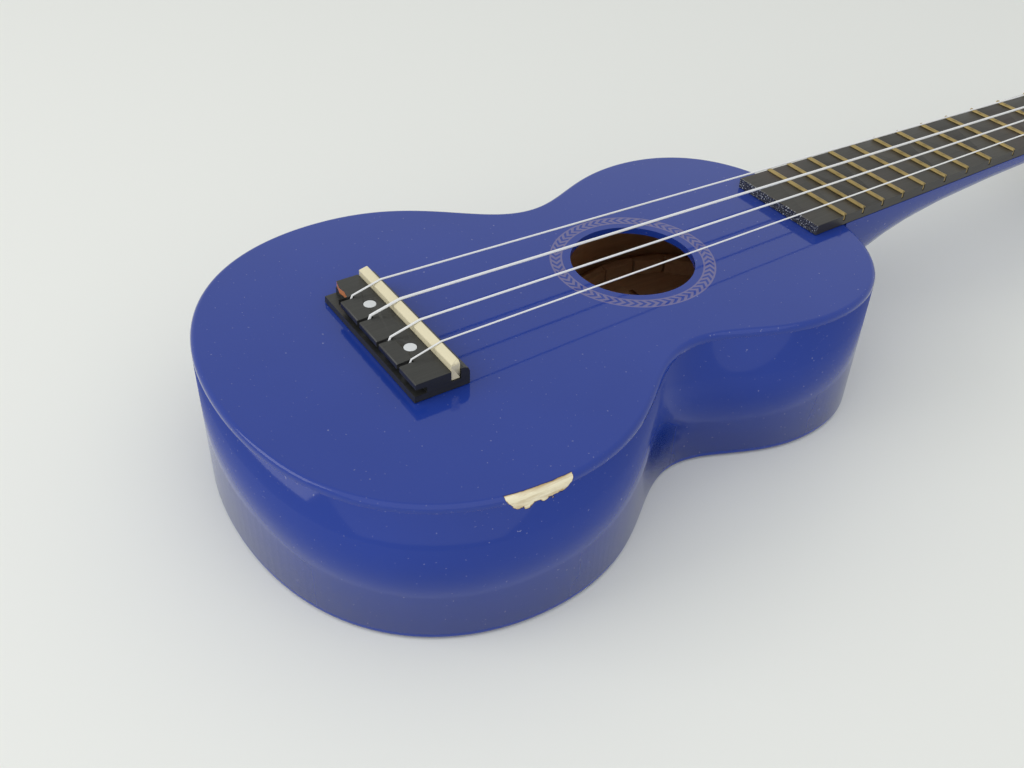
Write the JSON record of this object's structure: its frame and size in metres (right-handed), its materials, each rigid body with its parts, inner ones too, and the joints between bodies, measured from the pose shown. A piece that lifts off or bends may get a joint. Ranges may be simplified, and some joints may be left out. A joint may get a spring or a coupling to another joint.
{
  "type": "soprano ukulele",
  "caption": "Small waisted body with a round soundhole, a fretted neck, nylon strings and geared tuning machines.",
  "frame": {"origin": "outer face of the back plate, straight below the saddle's ridge", "axes": "+X from the tail to the head, +Y to the bass side, +Z out of the soundboard"},
  "size_m": [0.5247, 0.1608, 0.0664],
  "materials": {
    "blue_lacquer": "gloss",
    "bare_wood": "matte",
    "black_wood": "satin",
    "ivory_plastic": "gloss",
    "nylon": "gloss",
    "fret_brass": "satin",
    "plated_steel": "polished",
    "pearl": "gloss"
  },
  "bodies": {
    "root": {"back_plate": "blue_lacquer", "bass_back_lining": "bare_wood", "bass_rib": "blue_lacquer", "bass_top_lining": "bare_wood", "bridge": "black_wood", "bridge_dot_bass": "pearl", "bridge_dot_treble": "pearl", "bridge_patch": "bare_wood", "bridge_screw_bass": "plated_steel", "bridge_screw_treble": "plated_steel", "bushing_A": "plated_steel", "bushing_C": "plated_steel", "bushing_E": "plated_steel", "bushing_G": "plated_steel", "fret_01": "fret_brass", "fret_02": "fret_brass", "fret_03": "fret_brass", "fret_04": "fret_brass", "fret_05": "fret_brass", "fret_06": "fret_brass", "fret_07": "fret_brass", "fret_08": "fret_brass", "fret_09": "fret_brass", "fret_10": "fret_brass", "fret_11": "fret_brass", "fret_12": "fret_brass", "fretboard": "black_wood", "lower_back_brace": "bare_wood", "lower_top_brace": "bare_wood", "neck": "blue_lacquer", "neck_block": "bare_wood", "nut": "ivory_plastic", "plate_A": "plated_steel", "plate_C": "plated_steel", "plate_E": "plated_steel", "plate_G": "plated_steel", "saddle": "ivory_plastic", "soundboard": "blue_lacquer", "string_A": "nylon", "string_C": "nylon", "string_E": "nylon", "string_G": "nylon", "tail_block": "bare_wood", "treble_back_lining": "bare_wood", "treble_rib": "blue_lacquer", "treble_top_lining": "bare_wood", "upper_back_brace": "bare_wood", "upper_top_brace": "bare_wood"},
    "post_body_G": {"post_G": "plated_steel"},
    "worm_body_G": {"worm_G": "plated_steel", "button_G": "ivory_plastic"},
    "post_body_C": {"post_C": "plated_steel"},
    "worm_body_C": {"worm_C": "plated_steel", "button_C": "ivory_plastic"},
    "post_body_E": {"post_E": "plated_steel"},
    "worm_body_E": {"worm_E": "plated_steel", "button_E": "ivory_plastic"},
    "post_body_A": {"post_A": "plated_steel"},
    "worm_body_A": {"worm_A": "plated_steel", "button_A": "ivory_plastic"}
  },
  "joints": [
    {"name": "button_turn_G", "type": "hinge", "parent": "root", "child": "worm_body_G", "pos_m": [0.37629, 0.0135, 0.03619], "axis": [0, 1, 0], "continuous": true},
    {"name": "post_turn_G", "type": "hinge", "parent": "root", "child": "post_body_G", "pos_m": [0.38426, 0.0135, 0.03936], "axis": [0.1736, 0, 0.9848], "continuous": true},
    {"name": "button_turn_C", "type": "hinge", "parent": "root", "child": "worm_body_C", "pos_m": [0.41174, 0.0135, 0.02994], "axis": [0, 1, 0], "continuous": true},
    {"name": "post_turn_C", "type": "hinge", "parent": "root", "child": "post_body_C", "pos_m": [0.41971, 0.0135, 0.0331], "axis": [0.1736, 0, 0.9848], "continuous": true},
    {"name": "button_turn_E", "type": "hinge", "parent": "root", "child": "worm_body_E", "pos_m": [0.41174, -0.0135, 0.02994], "axis": [0, 1, 0], "continuous": true},
    {"name": "post_turn_E", "type": "hinge", "parent": "root", "child": "post_body_E", "pos_m": [0.41971, -0.0135, 0.0331], "axis": [0.1736, 0, 0.9848], "continuous": true},
    {"name": "button_turn_A", "type": "hinge", "parent": "root", "child": "worm_body_A", "pos_m": [0.37629, -0.0135, 0.03619], "axis": [0, 1, 0], "continuous": true},
    {"name": "post_turn_A", "type": "hinge", "parent": "root", "child": "post_body_A", "pos_m": [0.38426, -0.0135, 0.03936], "axis": [0.1736, 0, 0.9848], "continuous": true}
  ],
  "couplings": [
    {"joint": "post_turn_G", "follows": "button_turn_G", "ratio": 0.071429},
    {"joint": "post_turn_C", "follows": "button_turn_C", "ratio": 0.071429},
    {"joint": "post_turn_E", "follows": "button_turn_E", "ratio": 0.071429},
    {"joint": "post_turn_A", "follows": "button_turn_A", "ratio": 0.071429}
  ]
}
